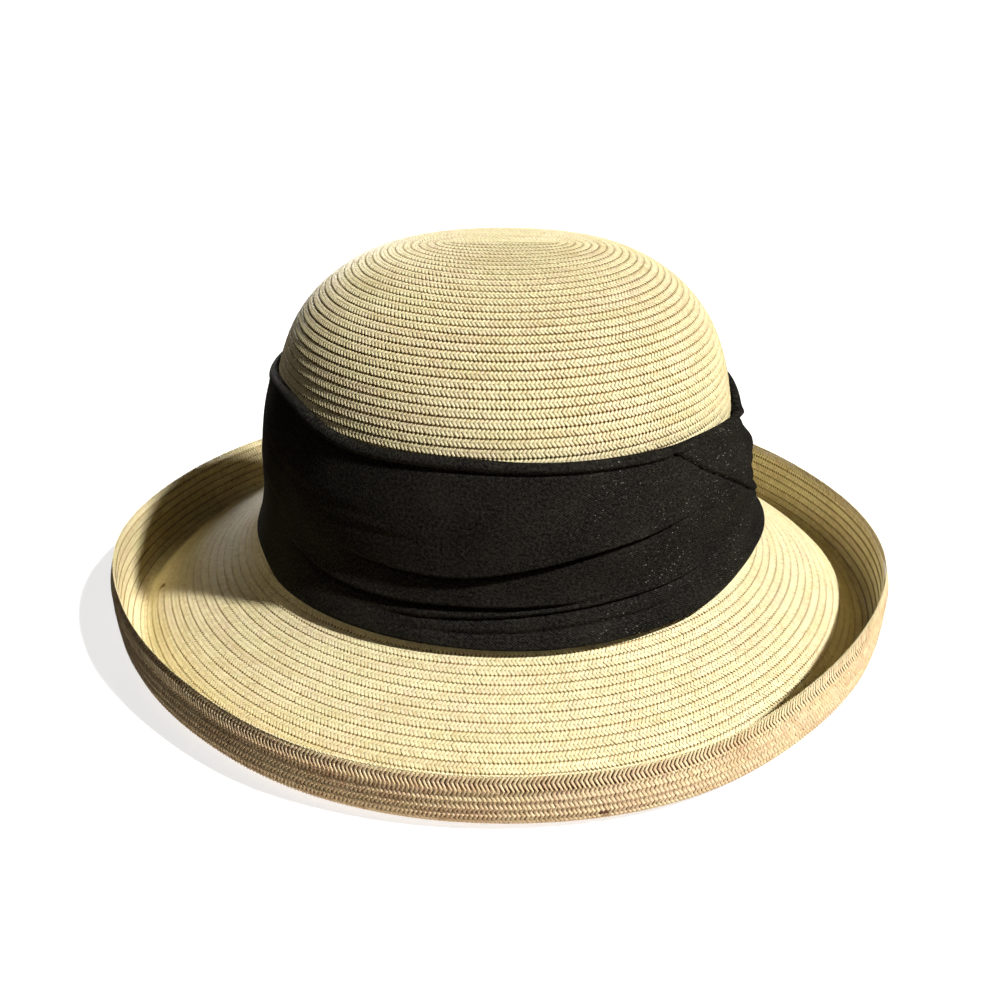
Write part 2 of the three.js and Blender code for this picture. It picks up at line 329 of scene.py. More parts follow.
@dataclass(frozen=True)
class LapPaintedShade:
    """The same straw under the laps, painted as the shade it lies in: the brown between the rows is
    painted shade.
    """

    name: str = "straw_under_the_laps_painted_shade"
    brown: str = "b3955e"
    deep: str = "876c42"
    grain_mm: float = 2.38

    def make(self) -> bpy.types.Material:
        """Makes the material: a dull brown of painted shade that varies over a few millimetres."""
        material, tree, shader = start_material(self.name)
        place = add_node(tree, "ShaderNodeTexCoord", {}, {}).outputs["Object"]
        grain = add_node(tree, "ShaderNodeTexNoise", {"Scale": 1000 / self.grain_mm, "Detail": 3.0},
                         {"Vector": place})
        ramp = add_node(tree, "ShaderNodeValToRGB", {}, {"Fac": grain.outputs["Fac"]})
        for stop, colour, position in zip(ramp.color_ramp.elements, (self.deep, self.brown), (0.3, 0.7)):
            stop.color, stop.position = linear(colour), position
        tree.links.new(ramp.outputs[0], shader.inputs["Base Color"])
        bump = add_node(tree, "ShaderNodeBump", {"Strength": 0.5, "Distance": 0.0002},
                        {"Height": grain.outputs["Fac"]})
        tree.links.new(bump.outputs[0], shader.inputs["Normal"])
        set_inputs(shader, {"Roughness": 0.8})
        return material


@dataclass(frozen=True)
class ScarfFinish:
    """Black viscose twill, soft and slightly napped: a dull sheen, and specks of pale lint."""

    name: str = "black_viscose_twill"
    black: str = "060505"
    worn: str = "2d2b26"
    lint: str = "c9c6be"
    # The real twill has a line about every 0.5 mm. It is drawn at 0.8 mm so that it shows.
    twill_mm: float = 0.8
    twill_angle: float = 52.0
    nap_mm: float = 1.111
    mottle_mm: float = 22.22
    lint_mm: float = 1.351  # from speck to speck
    drift_mm: float = 29.4  # from one drift of lint to the next
    lint_from: float = 0.02  # metres of cloth from the hat's front, where the lint lies
    lint_to: float = 0.15

    def make(self) -> bpy.types.Material:
        """Makes the material on the cloth's own UV map, which is in metres of cloth."""
        material, tree, shader = start_material(self.name)
        cloth = add_node(tree, "ShaderNodeUVMap", {"uv_map": "cloth"}, {}).outputs[0]
        # Twill: diagonal lines of yarn, broken up by the nap.
        turn = (0.0, 0.0, math.radians(self.twill_angle))
        turned = add_node(tree, "ShaderNodeMapping", {"Rotation": turn}, {"Vector": cloth})
        # A wave texture has 20 / (2 pi) bands in a unit of its vector.
        bands = 2 * math.pi * 1000 / self.twill_mm / 20
        twill = add_node(tree, "ShaderNodeTexWave", {"Scale": bands, "Distortion": 5.0, "Detail": 3.0,
                                                     "Detail Scale": 3.0}, {"Vector": turned.outputs[0]})
        nap, mottle, drift = (
            add_node(tree, "ShaderNodeTexNoise", {"Scale": 1000 / size, "Detail": 3.0}, {"Vector": cloth})
            for size in (self.nap_mm, self.mottle_mm, self.drift_mm)
        )
        nap.inputs["Roughness"].default_value = 0.7
        yarn = add_node(tree, "ShaderNodeMath", {"operation": "MULTIPLY_ADD", 1: 0.22},
                        {0: twill.outputs["Fac"], 2: nap.outputs["Fac"]})
        both = add_node(tree, "ShaderNodeMath", {"operation": "MULTIPLY_ADD", 1: 0.25},
                        {0: mottle.outputs["Fac"], 2: yarn.outputs[0]})
        ramp = add_node(tree, "ShaderNodeValToRGB", {}, {"Fac": both.outputs[0]})
        for stop, colour, position in zip(ramp.color_ramp.elements, (self.black, self.worn), (0.63, 0.88)):
            stop.color, stop.position = linear(colour), position
        # Lint: specks some 0.4 mm wide that cling in drifts on the right-hand side.
        cells = add_node(tree, "ShaderNodeTexVoronoi", {"Scale": 1000 / self.lint_mm}, {"Vector": cloth})
        near = add_node(tree, "ShaderNodeMapRange", {"From Min": 0.22, "From Max": 0.06},
                        {"Value": cells.outputs["Distance"]})
        few = add_node(tree, "ShaderNodeMapRange", {"From Min": 0.4, "From Max": 0.62},
                       {"Value": drift.outputs["Fac"]})
        part = add_node(tree, "ShaderNodeSeparateXYZ", {}, {0: cloth})
        middle, reach = (self.lint_from + self.lint_to) / 2, (self.lint_to - self.lint_from) / 2
        away = add_node(tree, "ShaderNodeMath", {"operation": "SUBTRACT", 1: middle}, {0: part.outputs[0]})
        span = add_node(tree, "ShaderNodeMath", {"operation": "ABSOLUTE"}, {0: away.outputs[0]})
        side = add_node(tree, "ShaderNodeMapRange", {"From Min": reach, "From Max": reach * 0.4,
                                                     "To Min": 0.12}, {"Value": span.outputs[0]})
        chance = add_node(tree, "ShaderNodeSeparateColor", {}, {0: cells.outputs["Color"]})
        kept = add_node(tree, "ShaderNodeMath", {"operation": "GREATER_THAN", 1: 0.15},
                        {0: chance.outputs[0]})
        speck = near.outputs[0]
        for other in (few.outputs[0], side.outputs[0], kept.outputs[0], chance.outputs[1]):
            product = add_node(tree, "ShaderNodeMath", {"operation": "MULTIPLY"}, {0: speck, 1: other})
            speck = product.outputs[0]
        tint = add_node(tree, "ShaderNodeMix", {"data_type": "RGBA", 7: linear(self.lint)},
                        {0: speck, 6: ramp.outputs[0]})
        tree.links.new(tint.outputs[2], shader.inputs["Base Color"])
        bump = add_node(tree, "ShaderNodeBump", {"Strength": 0.8, "Distance": 0.0003},
                        {"Height": yarn.outputs[0]})
        tree.links.new(bump.outputs[0], shader.inputs["Normal"])
        set_inputs(shader, {"Roughness": 0.8, "Specular IOR Level": 0.08, "Sheen Weight": 0.01,
                            "Sheen Roughness": 0.4, "Sheen Tint": linear("c8c2b8")})
        return material


@dataclass(frozen=True)
class StrawCut:
    """One straw of the plait as it shows between two crossings, and how a row of them lies."""

    pitch: float = 1.58  # from one chevron to the next, along the row
    run: float = 1.6  # how far a straw leans along the row as it crosses half of it
    half_width: float = 0.65
    thick: float = 0.18
    taper: float = 0.3  # share of its width that a straw loses where it turns at the row's edge
    lap: float = 0.7  # how far the row's lower edge stands out over the next row
    curve: float = 1.2  # how late across the row it does so
    swell: float = 0.14  # how far the middle of the row is rounded up
    start: float = 0.13  # shares across the row where the straws end
    cross_low: float = 0.57
    cross_high: float = 0.45
    end: float = 1.0
    over: float = 0.05  # how far the upper straw of a pair lies over the lower one


@dataclass(frozen=True)
class PlaitingHand:
    """How unevenly the braid was plaited: the most that a measure strays from straw to straw."""

    lean: float = 0.12  # millimetres along the row
    width: float = 0.07  # share of the straw's width
    place: float = 0.06  # millimetres along the row
    edge: float = 0.012  # share of the row, at its two edges
    thick: float = 0.12  # share of the straw's thickness


HAND = PlaitingHand()


class Straw:
    """A single straw, modelled once and copied along the braid."""

    TOP_LENGTH = 0.84  # of the eased top of a strip, as a share of its foot
    TOP_WIDTH = 0.8

    def __init__(self, flat: bool) -> None:
        """Models the straw.

        Args:
            flat: whether it is a flattened strip with eased edges, or one plain ridge.
        """
        deselect()
        if flat:
            bpy.ops.mesh.primitive_cube_add(size=2)
        else:
            bpy.ops.mesh.primitive_cone_add(vertices=4, radius1=1, radius2=0, depth=2)
        piece = bpy.context.object
        bpy.ops.object.mode_set(mode="EDIT")
        bpy.ops.mesh.quads_convert_to_tris()
        bpy.ops.object.mode_set(mode="OBJECT")
        points = np.array([v.co for v in piece.data.vertices])
        self.faces = np.array([list(p.vertices) for p in piece.data.polygons])
        self.points = self._strip(points) if flat else self._ridge(points)
        bpy.data.objects.remove(piece, do_unlink=True)

    @staticmethod
    def _strip(points: Array) -> Array:
        """Lays the cube down: x along the straw from -0.5 to 0.5, y across, z up from 0 to 1."""
        top = points[:, 2] > 0
        along = 0.5 * np.sign(points[:, 0]) * np.where(top, Straw.TOP_LENGTH, 1.0)
        across = np.sign(points[:, 1]) * np.where(top, Straw.TOP_WIDTH, 1.0)
        return np.stack([along, across, top.astype(float)], axis=1)

    @staticmethod
    def _ridge(points: Array) -> Array:
        """Lays the cone down the same way, with its base as the straw's outline."""
        base = points[:, 2] < 0
        angle = np.arctan2(points[:, 1], points[:, 0])
        shaped = np.stack([0.5 * np.cos(angle), np.sin(angle), np.zeros(len(points))], axis=1)
        shaped[~base] = (0.0, 0.0, 1.0)
        return shaped


@dataclass
class BraidRows:
    """Rows of plaited straw, laid along the spiral over one face of the wall."""

    name: str
    first: float  # the row where this stretch of the spiral starts
    last: float  # and ends
    face: Face
    cut: StrawCut
    node: str
    slot: str = "straw_braid"
    top_row: float = 0.0  # nothing is laid above this row
    end_row: float = 75.42  # nor past this one
    spiral: bool = True
    row_rows: float = 1.0  # how many rows of the spiral one row of this braid covers
    curl: float = 0.0  # millimetres that its last row turns over the rim's edge
    opening: tuple = (-2.0, -1.0)  # rows over which its laps open up, from a third of their size
    nicks: tuple = ()  # rows and turns where a straw is broken away

    NARROWEST = 0.12  # rows; a narrower strip of the braid is left out
    HALF_NICK = 0.0019  # turns, on each side of a nick's place
    OFF_WALL = 0.3  # millimetres from the wall's middle to the foot of the straws
    TIGHT = 0.35  # share of its laps that the braid has before they open up
    # How straws differ: the middle value, how much drifts along the braid, how much is each one's
    # own, and over how many straws it drifts
    TONE = (0.55, 0.10, 0.15, 9)
    HUE = (0.5, 0.12, 0.14, 14)

    def _course(self) -> tuple[Array, Array]:
        """Gives the course of the braid: its length so far, and the turn it has reached."""
        turns = np.arange(self.first - 0.02, self.last + 0.02, 1 / 360)
        middle = self._edges(turns).mean(axis=0)
        places = FORM.place(middle, turns, np.zeros_like(turns)) / MM
        lengths = np.linalg.norm(np.diff(places, axis=0), axis=1)
        return np.concatenate([[0.0], np.cumsum(lengths)]), turns

    def _edges(self, turns: Array) -> Array:
        """Gives the rows of the form where the braid's two edges are, at each turn."""
        start = turns if self.spiral else np.full_like(turns, self.top_row)
        upper = np.clip(start, self.top_row, self.end_row)
        lower = np.clip(start + self.row_rows, self.top_row, self.end_row)
        return np.stack([upper, lower])

    def build(self, straw: Straw, material: bpy.types.Material) -> None:
        """Lays every straw of these rows and joins them in one piece.

        Args:
            straw: the straw to copy.
            material: its finish.
        """
        rng = np.random.default_rng(SEED + len(self.name) + int(self.first))
        length, turns = self._course()
        start, end = np.interp([self.first, self.last], turns, length)
        fit = round((end - start) / self.cut.pitch)
        at = start + (np.arange(fit) + 0.5) * (end - start) / fit
        upper, lower = self._edges(np.interp(at, length, turns))
        at = at[(lower - upper > self.NARROWEST) & ~self._broken(upper, np.interp(at, length, turns))]
        cut = self.cut
        # tail and head of each straw, how far it lies over its neighbours, which end turns at the edge
        halves = (
            ((0.5 * cut.run, cut.start), (-0.5 * cut.run, cut.cross_low), cut.over, -1),
            ((-0.5 * cut.run, cut.cross_high), (0.5 * cut.run, cut.end), 0.0, 1),
        )
        looks = {"straw_tone": self.TONE, "straw_hue": self.HUE}
        drifts = {key: self._drift(rng, len(at), reach) for key, (*_, reach) in looks.items()}
        points = []
        values = {key: [] for key in looks}
        for tail, head, over, tip in halves:
            points.append(self._lay(straw, rng, length, turns, at, tail, head, over, tip))
            for key, (middle, along, own, _) in looks.items():
                value = middle + along * drifts[key] + own * rng.standard_normal(len(at))
                values[key].append(np.clip(value, 0, 1))
        piece = self._mesh(np.concatenate(points), straw, material)
        for key in looks:
            attribute = piece.data.attributes.new(key, "FLOAT", "POINT")
            attribute.data.foreach_set("value", np.repeat(np.concatenate(values[key]), len(straw.points)))
        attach(piece, "root")
        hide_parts(self.node)
        LOG.info("%s: %d chevrons, %d triangles", self.name, len(at), len(piece.data.polygons))

    def _broken(self, upper: Array, turn: Array) -> Array:
        """Tells which chevrons are broken away."""
        broken = np.zeros(len(turn), bool)
        for row, place in self.nicks:
            away = np.mod(turn - place + 0.5, 1) - 0.5
            broken |= (np.abs(away) < self.HALF_NICK) & (np.abs(upper + 0.5 - row) < 0.5)
        return broken

    @staticmethod
    def _drift(rng: np.random.Generator, count: int, reach: int) -> Array:
        """Gives a value that drifts slowly from straw to straw, of about unit spread."""
        kernel = np.hanning(2 * reach + 3)
        noise = np.convolve(rng.standard_normal(count + len(kernel)), kernel, "same")[:count]
        return noise / np.linalg.norm(kernel)

    def _lay(self, straw: Straw, rng: np.random.Generator, length: Array, turns: Array,
             at: Array, tail: tuple, head: tuple, over: float, tip: int) -> Array:
        """Lays one straw of each chevron.

        Args:
            straw: the straw to copy.
            rng: source of the small differences.
            length: the braid's length so far along its course.
            turns: the turn reached there.
            at: where along the braid each chevron is.
            tail: where the straw starts, along the row in millimetres and as a share across it.
            head: where it ends.
            over: how far the whole of it lies over its neighbours.
            tip: which end turns at the row's edge, -1 for its tail or 1 for its head.

        Returns:
            The places of all their points, in metres, one block for each straw.
        """
        count = len(at)
        upper, lower = self._edges(np.interp(at, length, turns))
        rows_wide = (lower - upper)[:, None]
        row_mm = ROW_MM * rows_wide
        jitter = rng.uniform(-1, 1, (5, count, 1))
        du = (head[0] - tail[0]) + HAND.lean * jitter[0]
        dv = (head[1] - tail[1]) * row_mm
        size = np.hypot(du, dv)
        narrowed = np.minimum(1.0, 0.6 + 0.4 * rows_wide)  # straws of a narrow row are finer
        half = self.cut.half_width * (0.96 + HAND.width * jitter[1]) * narrowed
        open_by = (self.TIGHT + (1 - self.TIGHT) * ease(upper, *self.opening))[:, None]
        x, y, z = (straw.points[:, k][None, :] for k in range(3))
        turned = 0.5 + tip * x
        y = y * (1 - self.cut.taper * turned)
        z = z * (1 - 0.3 * turned)  # it is pressed flatter where it turns
        along = tail[0] + HAND.place * jitter[2] + du * (x + 0.5) - dv / size * half * y
        across = tail[1] + (dv * (x + 0.5) + du / size * half * y) / row_mm
        across = across - (1 - open_by) * self.cut.start * (1 - np.clip(across, 0, 1))
        across = across + HAND.edge * jitter[3] * (np.abs(across - 0.5) > 0.3)
        turn = np.interp(at[:, None] + along, length, turns)
        lift = open_by * self.cut.lap * np.clip(across, 0, 1.05) ** self.cut.curve
        lift = lift + self.cut.swell * np.sin(np.pi * np.clip(across, 0, 1))
        height = self.OFF_WALL + lift + over + (self.cut.thick * (1 + HAND.thick * jitter[4])) * z
        if self.face is Face.OUTER:
            row = upper[:, None] + across * rows_wide
            off = height - self.curl * ease(row, self.end_row - 0.9, self.end_row)
        else:
            row = lower[:, None] - across * rows_wide
            off = -height * FORM.room(row)
        return FORM.place(row, turn, off).reshape(-1, 3)

    def _mesh(self, coordinates: Array, straw: Straw, material: bpy.types.Material) -> bpy.types.Object:
        """Joins the straws in one mesh, each of them closed and facing outwards."""
        per_straw = len(straw.points)
        blocks = len(coordinates) // per_straw
        faces = (straw.faces[None] + per_straw * np.arange(blocks)[:, None, None]).reshape(-1, 3)
        a, b, c = (coordinates[faces[: len(straw.faces), k]] for k in range(3))
        centre = coordinates[:per_straw].mean(axis=0)
        outwards = np.einsum("ij,ij->i", np.cross(b - a, c - a), a - centre).sum()
        if outwards < 0:
            faces = faces[:, ::-1]
        mesh = bpy.data.meshes.new(self.name)
        mesh.vertices.add(len(coordinates))
        mesh.vertices.foreach_set("co", coordinates.ravel())
        mesh.loops.add(faces.size)
        mesh.loops.foreach_set("vertex_index", faces.ravel().astype(np.int32))
        mesh.polygons.add(len(faces))
        mesh.polygons.foreach_set("loop_start", np.arange(0, faces.size, 3, dtype=np.int32))
        mesh.update(calc_edges=True)
        mesh.shade_smooth()
        mesh.materials.append(material)
        piece = bpy.data.objects.new(self.name, mesh)
        bpy.context.collection.objects.link(piece)
        return piece


@dataclass
class WrappedWall:
    """A closed wall round the hat, made from a flat grid that is wrapped round and sewn up."""

    name: str
    node: str
    slot: str
    around: int  # points round the hat
    across: int  # points across the loop of its section

    MERGE = 2e-6  # metres within which the points of a seam become one

    def section(self, share: Array, turn: Array) -> tuple[Array, Array]:
        """Gives the row and the offset at a share of the loop round the wall's section."""
        raise NotImplementedError

    def build(self, *materials: bpy.types.Material) -> bpy.types.Object:
        """Wraps a grid round the hat, merges its seams and finishes it.

        Args:
            materials: the wall's finish, and that of its hidden side where it differs.

        Returns:
            The finished piece.
        """
        deselect()
        bpy.ops.mesh.primitive_grid_add(x_subdivisions=self.around, y_subdivisions=self.across, size=2)
        piece = bpy.context.object
        piece.name = piece.data.name = self.name
        points = np.array([v.co for v in piece.data.vertices])
        turn = (points[:, 0] + 1) / 2
        share = (points[:, 1] + 1) / 2
        row, off = self.section(share, turn)
        wrapped = FORM.place(row, turn, off)
        piece.data.vertices.foreach_set("co", wrapped.ravel())
        for finish in materials:
            piece.data.materials.append(finish)
        self.mark(piece, share, turn, row)
        bpy.ops.object.mode_set(mode="EDIT")
        bpy.ops.mesh.select_all(action="SELECT")
        bpy.ops.mesh.remove_doubles(threshold=self.MERGE)
        bpy.ops.mesh.normals_make_consistent(inside=False)
        bpy.ops.object.mode_set(mode="OBJECT")
        bpy.ops.object.shade_smooth()
        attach(piece, "root")
        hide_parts(self.node)
        LOG.info("%s: %d faces", self.name, len(piece.data.polygons))
        return piece

    def mark(self, piece: bpy.types.Object, share: Array, turn: Array, row: Array) -> None:
        """Marks the grid's faces or map by their place; each kind of wall does its own."""
        raise NotImplementedError


@dataclass
class StrawWall(WrappedWall):
    """The lapped straw between the rows that show, as one thin wall."""

    top_row: float = 0.0
    end_row: float = 52.2
    half: float = 0.3  # millimetres
    rim_row: float = 66.0  # past this row the inner face is the rim's outside

    def section(self, share: Array, turn: Array) -> tuple[Array, Array]:
        """Goes down the outer face for half of the loop and back up the inner one."""
        down = np.clip(share * 2, 0, 1)
        back = np.clip(share * 2 - 1, 0, 1)
        row = self.top_row + (self.end_row - self.top_row) * (down - back)
        # On a wall with an open top, the grid's last line comes back to its first.
        outer = (share < 0.5) | ((self.top_row > 0) & (share > 1 - 1e-5))
        return row, np.where(outer, self.half, -self.half)

    def mark(self, piece: bpy.types.Object, share: Array, turn: Array, row: Array) -> None:
        """Gives the rim's outside the second finish, the darker, redder painted shade behind its rows."""
        corner = np.array([polygon.vertices[0] for polygon in piece.data.polygons])
        behind = (share[corner] > 0.49) & (row[corner] > self.rim_row)
        piece.data.polygons.foreach_set("material_index", behind.astype(np.int32))


@dataclass
class ScarfBand(WrappedWall):
    """The wound scarf: its rolled hem, the crossing fold on the right and the tucks below."""

    seat: float = 1.6  # of the cloth's inner face off the wall's middle
    fullness: float = 8.0
    cloth: float = 1.2
    inner_share: float = 0.12  # of the loop, for the inner face
    hem: float = 3.4  # height of the rolled hem along the upper edge
    hem_out: float = 1.1
    sway: float = 0.35  # of the whole cloth, in slow waves
    sway_height: float = 9.0
    edge_turn: float = 0.3  # half the height over which a tuck's edge turns in
    crease_half: float = 0.6  # half-width of the crease under it
    mm_per_degree: float = 1.65  # along the cloth
    map_size: tuple = (0.62, 0.085)  # metres of cloth round the hat and round the section's loop

    # direction, height of the upper edge, height of the lower edge
    EDGES = (
        (-180, 107.6, 38.0), (-157.5, 110.2, 38.0), (-144.5, 108.6, 35.4), (-136, 106.0, 34.6),
        (-123, 103.9, 33.9), (-113, 104.0, 33.5), (-95, 103.9, 32.9), (-85, 102.8, 32.5),
        (-68.5, 101.6, 32.5), (-58.5, 100.9, 32.9), (-47, 99.8, 33.3), (-39.5, 99.4, 34.6),
        (-30, 98.0, 36.2), (-20, 95.4, 36.6), (-11, 92.4, 36.4), (0, 98.6, 36.0), (12, 100.4, 36.0),
        (45, 102.0, 35.8), (90, 104.0, 35.8), (135, 105.3, 36.3),
    )
    # direction, how full the cloth is above, and at its foot, as shares of fullness
    BODY = (
        (-180, 0.6, 0.15), (-157, 0.65, 0.25), (-142, 0.75, 0.45), (-123, 0.8, 0.5), (-90, 0.8, 0.5),
        (-60, 0.85, 0.6), (-35, 1.0, 0.8), (-12, 1.15, 1.0), (0, 0.75, 1.0), (12, 0.5, 0.8),
        (45, 0.7, 0.55), (90, 0.75, 0.5), (135, 0.75, 0.45),
    )
    # share across the scarf, how much of the upper and of the foot's fullness is there
    PROFILE = (
        (0.0, 0.16, 0.0), (0.05, 0.42, 0.0), (0.11, 0.5, 0.0), (0.3, 0.8, 0.0), (0.5, 0.9, 0.0),
        (0.7, 0.6, 0.3), (0.88, 0.25, 0.75), (0.97, 0.12, 0.75), (1.0, 0.05, 0.6),
    )
    # Tucks: the cloth above the line stands out over the cloth below it. Each has its overhang,
    # the depth of its hollow, how softly both fade, the depth of the crease in it, and the
    # line's directions and heights.
    TUCKS = (
        (0.6, 1.2, 4.0, 2.0, 0.7, ((-150, 104.6), (-140, 103.3), (-127, 100.4), (-103, 100.4),
         (-90, 99.8), (-69, 98.6), (-50, 97.4), (-34, 97), (-18, 94.6))),
        (0.35, 0.15, 6.0, 6.0, 1.8, ((-64, 103), (-54.5, 101.5), (-49.5, 98.4), (-37, 84.5),
         (-30.5, 78.2), (-18, 65), (-6, 54), (6, 47))),
        (1.7, 1.6, 7.0, 4.5, 1.7, ((-131, 66), (-114.5, 61.4), (-98, 60.7), (-84, 64.6),
         (-69.5, 68.8), (-56.5, 71.2), (-45, 73.4), (-36, 75.6))),
        (1.1, 1.8, 4.5, 3.4, 0.9, ((-150, 60), (-134, 51.5), (-116, 48.2), (-101, 48.6),
         (-85.5, 48.8), (-73.5, 49.5), (-62, 51.5))),
        (0.8, 0.8, 3.0, 2.2, 1.3, ((-128, 44), (-109.5, 43.2), (-94, 44.4), (-80.5, 45.8),
         (-66, 47.4), (-48, 49.3), (-35.5, 52.5), (-18, 60), (-6, 68))),
        (0.5, 0.6, 2.4, 2.0, 0.9, ((-118, 38.8), (-103, 39), (-87.5, 39.3), (-74, 40.4),
         (-58.5, 41.3), (-46, 44), (-36, 47))),
        (0.8, 1.2, 5.0, 3.5, 1.0, ((8, 88), (30, 80), (60, 76), (95, 78), (130, 82), (160, 86))),
        (0.8, 1.0, 5.0, 3.5, 1.0, ((30, 60), (65, 64), (100, 62), (140, 58), (175, 60), (200, 62))),
        (0.6, 0.9, 4.0, 3.0, 0.8, ((0, 50), (35, 47), (75, 46), (115, 47), (150, 46), (185, 49))),
    )
    # Shallow wrinkles, and ridges where the depth is negative: depth, half-width, and the line.
    WRINKLES = (
        (0.45, 1.6, ((-76, 79), (-52, 84.5), (-34, 89), (-18, 91.5))),
        (0.40, 1.5, ((-64, 74.5), (-46, 79), (-33, 84), (-18, 88))),
        (0.45, 1.6, ((-34, 57), (-22, 65), (-12, 75), (-4, 84))),
        (0.45, 1.6, ((-32, 49), (-17, 54.5), (-6, 62), (4, 70))),
        (0.30, 1.2, ((-50, 65), (-34, 69.5), (-18, 75))),
        (0.35, 1.8, ((-140, 78), (-120, 74), (-100, 73))),
        (0.30, 2.0, ((-170, 92), (-150, 84), (-130, 80), (-110, 79))),
        (0.40, 2.0, ((20, 96), (60, 93), (110, 94), (150, 97))),
        (0.40, 2.0, ((-185, 74), (-165, 70), (-145, 66))),
        # the lobes of the crossing folds at the right
        (1.5, 1.4, ((-20, 93), (-8, 88.5), (2, 84), (16, 80))),
        (-1.7, 3.6, ((-22, 84), (-8, 79), (2, 75), (18, 71))),
        (1.0, 1.8, ((-18, 73), (-8, 69), (2, 65), (16, 61))),
        (-1.7, 3.0, ((-22, 60), (-8, 57), (2, 54), (16, 51))),
        (2.3, 1.7, ((-20, 50), (-8, 49), (2, 48), (16, 46))),
        (-1.5, 2.8, ((-34, 42.5), (-14, 41), (0, 40), (18, 39.5))),
    )

    def section(self, share: Array, turn: Array) -> tuple[Array, Array]:
        """Goes down the scarf's outer face and back up its inner one."""
        direction = turn * 360 - 90
        outer_end = 1 - self.inner_share
        across = np.where(share <= outer_end, share / outer_end, (1 - share) / self.inner_share)
        across = np.clip(across, 0.0, 1.0)
        top = round_curve(self.EDGES, 1, direction)
        foot = round_curve(self.EDGES, 2, direction)
        height = top + (foot - top) * across
        full = round_curve(self.BODY, 1, direction)
        low = round_curve(self.BODY, 2, direction)
        profile = np.array(self.PROFILE)
        upper_part = smooth_curve(profile[:, 0], profile[:, 1], across)
        lower_part = smooth_curve(profile[:, 0], profile[:, 2], across)
        out = self.fullness * (upper_part * full + lower_part * low)
        out = out + self._roll(top - height) + self._relief(direction, height)
        # It is never thinner than the cloth, which is rounded off at its two edges.
        out = np.maximum(out, self.cloth * np.sqrt(np.clip(across * (1 - across) * 40, 0.0, 1.0)))
        outer = (share > 0) & (share < outer_end)
        return FORM.row_at(height), self.seat + np.where(outer, out, 0.0)

    def _roll(self, below: Array) -> Array:
        """Gives the rolled hem along the upper edge, by millimetres below that edge."""
        x = np.clip(below / self.hem, 0.0, 1.0)
        return self.hem_out * np.sqrt(np.clip(1 - (2 * x - 1) ** 2, 0.0, 1.0)) * ease(x, 0.0, 0.08)

    def _relief(self, direction: Array, height: Array) -> Array:
        """Gives how far the tucks and wrinkles move the cloth in or out."""
        total = self.sway * np.sin(np.radians(direction * 3 + 40)) * np.sin(height / self.sway_height)
        for lip, hollow, above, below, crease, line in self.TUCKS:
            away, strength = self._from_line(line, direction, height)
            over = lip * np.exp(-np.abs(away) / above)
            under = -hollow * np.exp(-np.abs(away) / below)
            side = 0.5 + 0.5 * np.tanh(away / self.edge_turn)
            total = total + strength * (under + (over - under) * side)
            groove = np.exp(-(((away + self.edge_turn) / self.crease_half) ** 2))
            total = total - strength * crease * groove
        for depth, width, line in self.WRINKLES:
            away, strength = self._from_line(line, direction, height)
            total = total - strength * depth * np.exp(-((away / width) ** 2))
            swelling = np.exp(-(((away - 1.6 * width) / width) ** 2))  # the cloth beside a wrinkle
            total = total + strength * 0.5 * depth * swelling
        return total

    def _from_line(self, line: tuple, direction: Array, height: Array) -> tuple[Array, Array]:
        """Gives millimetres above a line across the cloth, and the line's strength there.

        Args:
            line: its directions, rising, and heights.
            direction: degrees round the hat.
            height: millimetres above the surface.

        Returns:
            How far above the line each place is, and 1 along the line, fading to 0 at its ends.
        """
        rows = np.array(line, float)
        first, last = rows[0, 0], rows[-1, 0]
        before = 30  # degrees before the line's start at which its round begins
        turned = np.mod(direction - first + before, 360) + first - before
        level = smooth_curve(rows[:, 0], rows[:, 1], turned)
        fade = 0.3 * (last - first)
        strength = ease(turned, first, first + fade) * (1 - ease(turned, last - fade, last))
        slope = np.gradient(rows[:, 1], rows[:, 0])
        steep = np.interp(turned, rows[:, 0], slope) / self.mm_per_degree
        return (height - level) / np.sqrt(1 + steep**2), strength

    def mark(self, piece: bpy.types.Object, share: Array, turn: Array, row: Array) -> None:
        """Writes the cloth's UV map in metres of cloth, along the scarf and across it."""
        layer = piece.data.uv_layers.active
        layer.name = "cloth"
        loops = np.zeros(len(piece.data.loops), np.int32)
        piece.data.loops.foreach_get("vertex_index", loops)
        along = turn[loops] * self.map_size[0]
        across = share[loops] * self.map_size[1]
        layer.data.foreach_set("uv", np.stack([along, across], axis=1).ravel())


